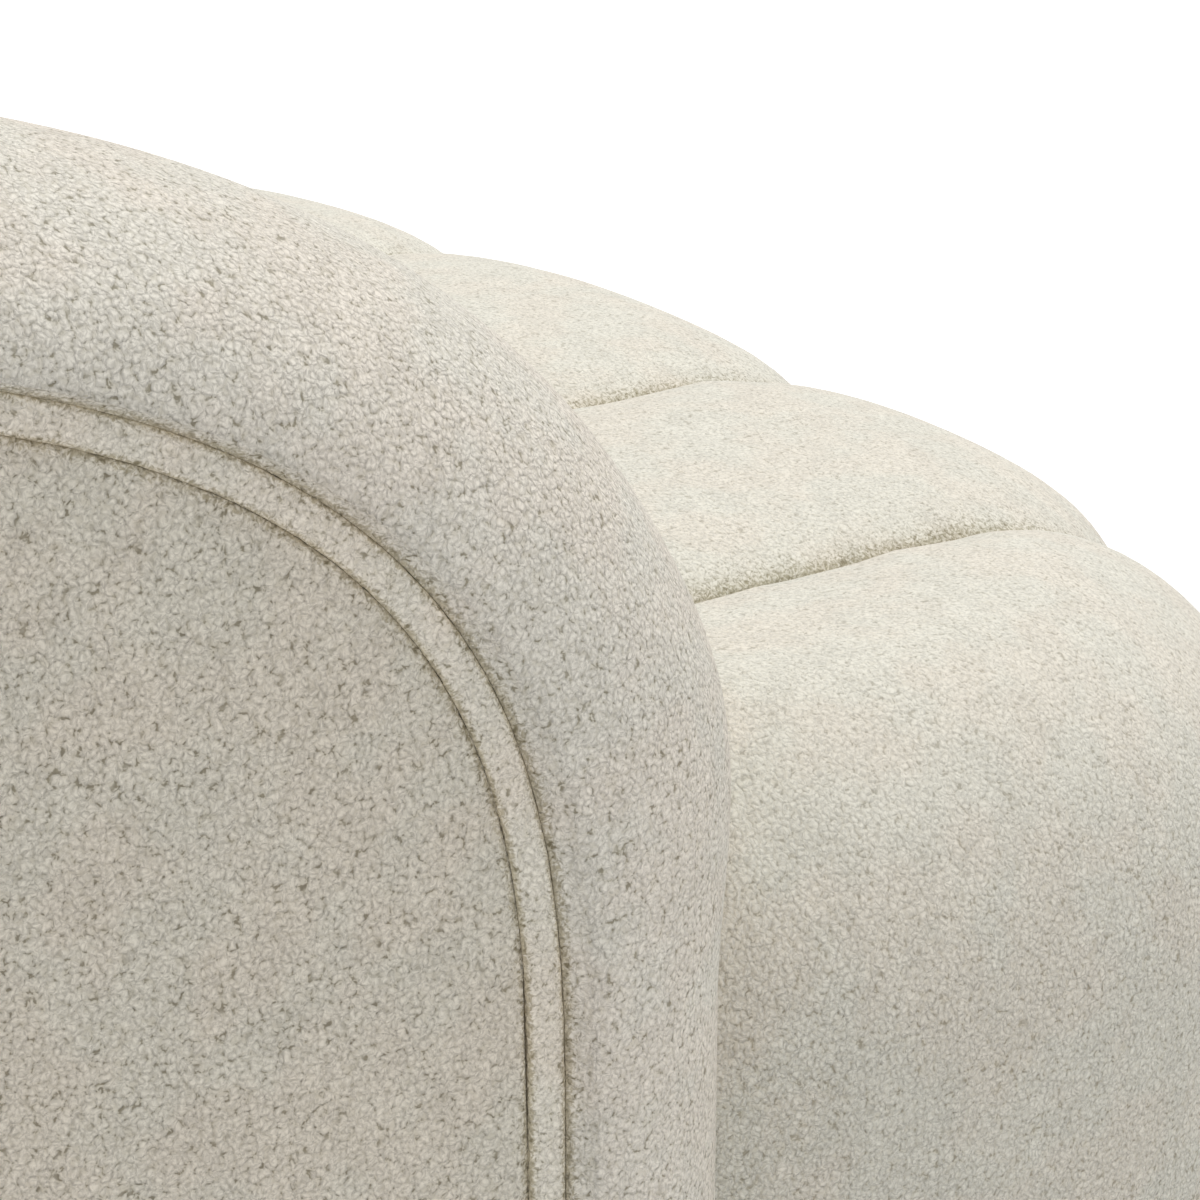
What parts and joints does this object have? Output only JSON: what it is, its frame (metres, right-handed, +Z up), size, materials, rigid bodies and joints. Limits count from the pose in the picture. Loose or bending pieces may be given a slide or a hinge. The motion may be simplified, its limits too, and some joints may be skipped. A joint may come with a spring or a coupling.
{
  "type": "tuxedo sofa",
  "caption": "Small tuxedo sofa with a five-channel seat rolling over a rounded front, wrapped arms and back of one height with a thick piped roll, on round feet.",
  "frame": {"origin": "on the floor, under the middle of the sofa's bounding box", "axes": "+X is the sitter's left, the viewer's right, along the sofa's length; -Y is the front; +Z is up"},
  "size_m": [1.1704, 0.9688, 0.676],
  "materials": {
    "boucle": "curly cream boucle, matt",
    "boucle_shade": "the same boucle, in the shade of the outer face",
    "foam": "upholstery foam",
    "frame_wood": "plain pine and plywood",
    "foot_wood": "dark stained wood, satin",
    "webbing": "woven webbing",
    "dust_cover": "thin black lining"
  },
  "bodies": {
    "root": {"arm_roll_left": "boucle", "arm_roll_right": "boucle", "back_roll": "boucle", "piping": "boucle_shade", "arm_panel_left": "boucle_shade", "arm_panel_right": "boucle_shade", "back_panel": "boucle_shade", "outer_board_left": "frame_wood", "outer_board_right": "frame_wood", "outer_board_back": "frame_wood", "inner_board_left": "frame_wood", "inner_board_right": "frame_wood", "inner_board_back": "frame_wood", "inner_arm_pad_left": "boucle", "inner_arm_pad_right": "boucle", "inner_back_pad": "boucle", "seat_channel_middle": "boucle", "seat_channel_left": "boucle", "seat_channel_right": "boucle", "seat_corner_left": "boucle", "seat_corner_right": "boucle", "seat_foam": "foam", "corner_foam_left": "foam", "corner_foam_right": "foam", "front_rail": "frame_wood", "rear_rail": "frame_wood", "cross_rail_1": "frame_wood", "cross_rail_2": "frame_wood", "cross_rail_3": "frame_wood", "side_rail_left": "frame_wood", "side_rail_right": "frame_wood", "corner_rail_left": "frame_wood", "corner_rail_right": "frame_wood", "front_corner_rail_left": "frame_wood", "front_corner_rail_right": "frame_wood", "front_tie_left": "frame_wood", "front_tie_right": "frame_wood", "arm_tie_left": "frame_wood", "arm_tie_right": "frame_wood", "arm_post_left": "frame_wood", "arm_post_right": "frame_wood", "back_post_left": "frame_wood", "back_post_right": "frame_wood", "back_top_rail": "frame_wood", "webbing_strap_1": "webbing", "webbing_strap_2": "webbing", "webbing_strap_3": "webbing", "dust_cover": "dust_cover", "foot_front_left": "foot_wood", "foot_front_right": "foot_wood", "foot_rear_left": "foot_wood", "foot_rear_right": "foot_wood"}
  },
  "joints": []
}
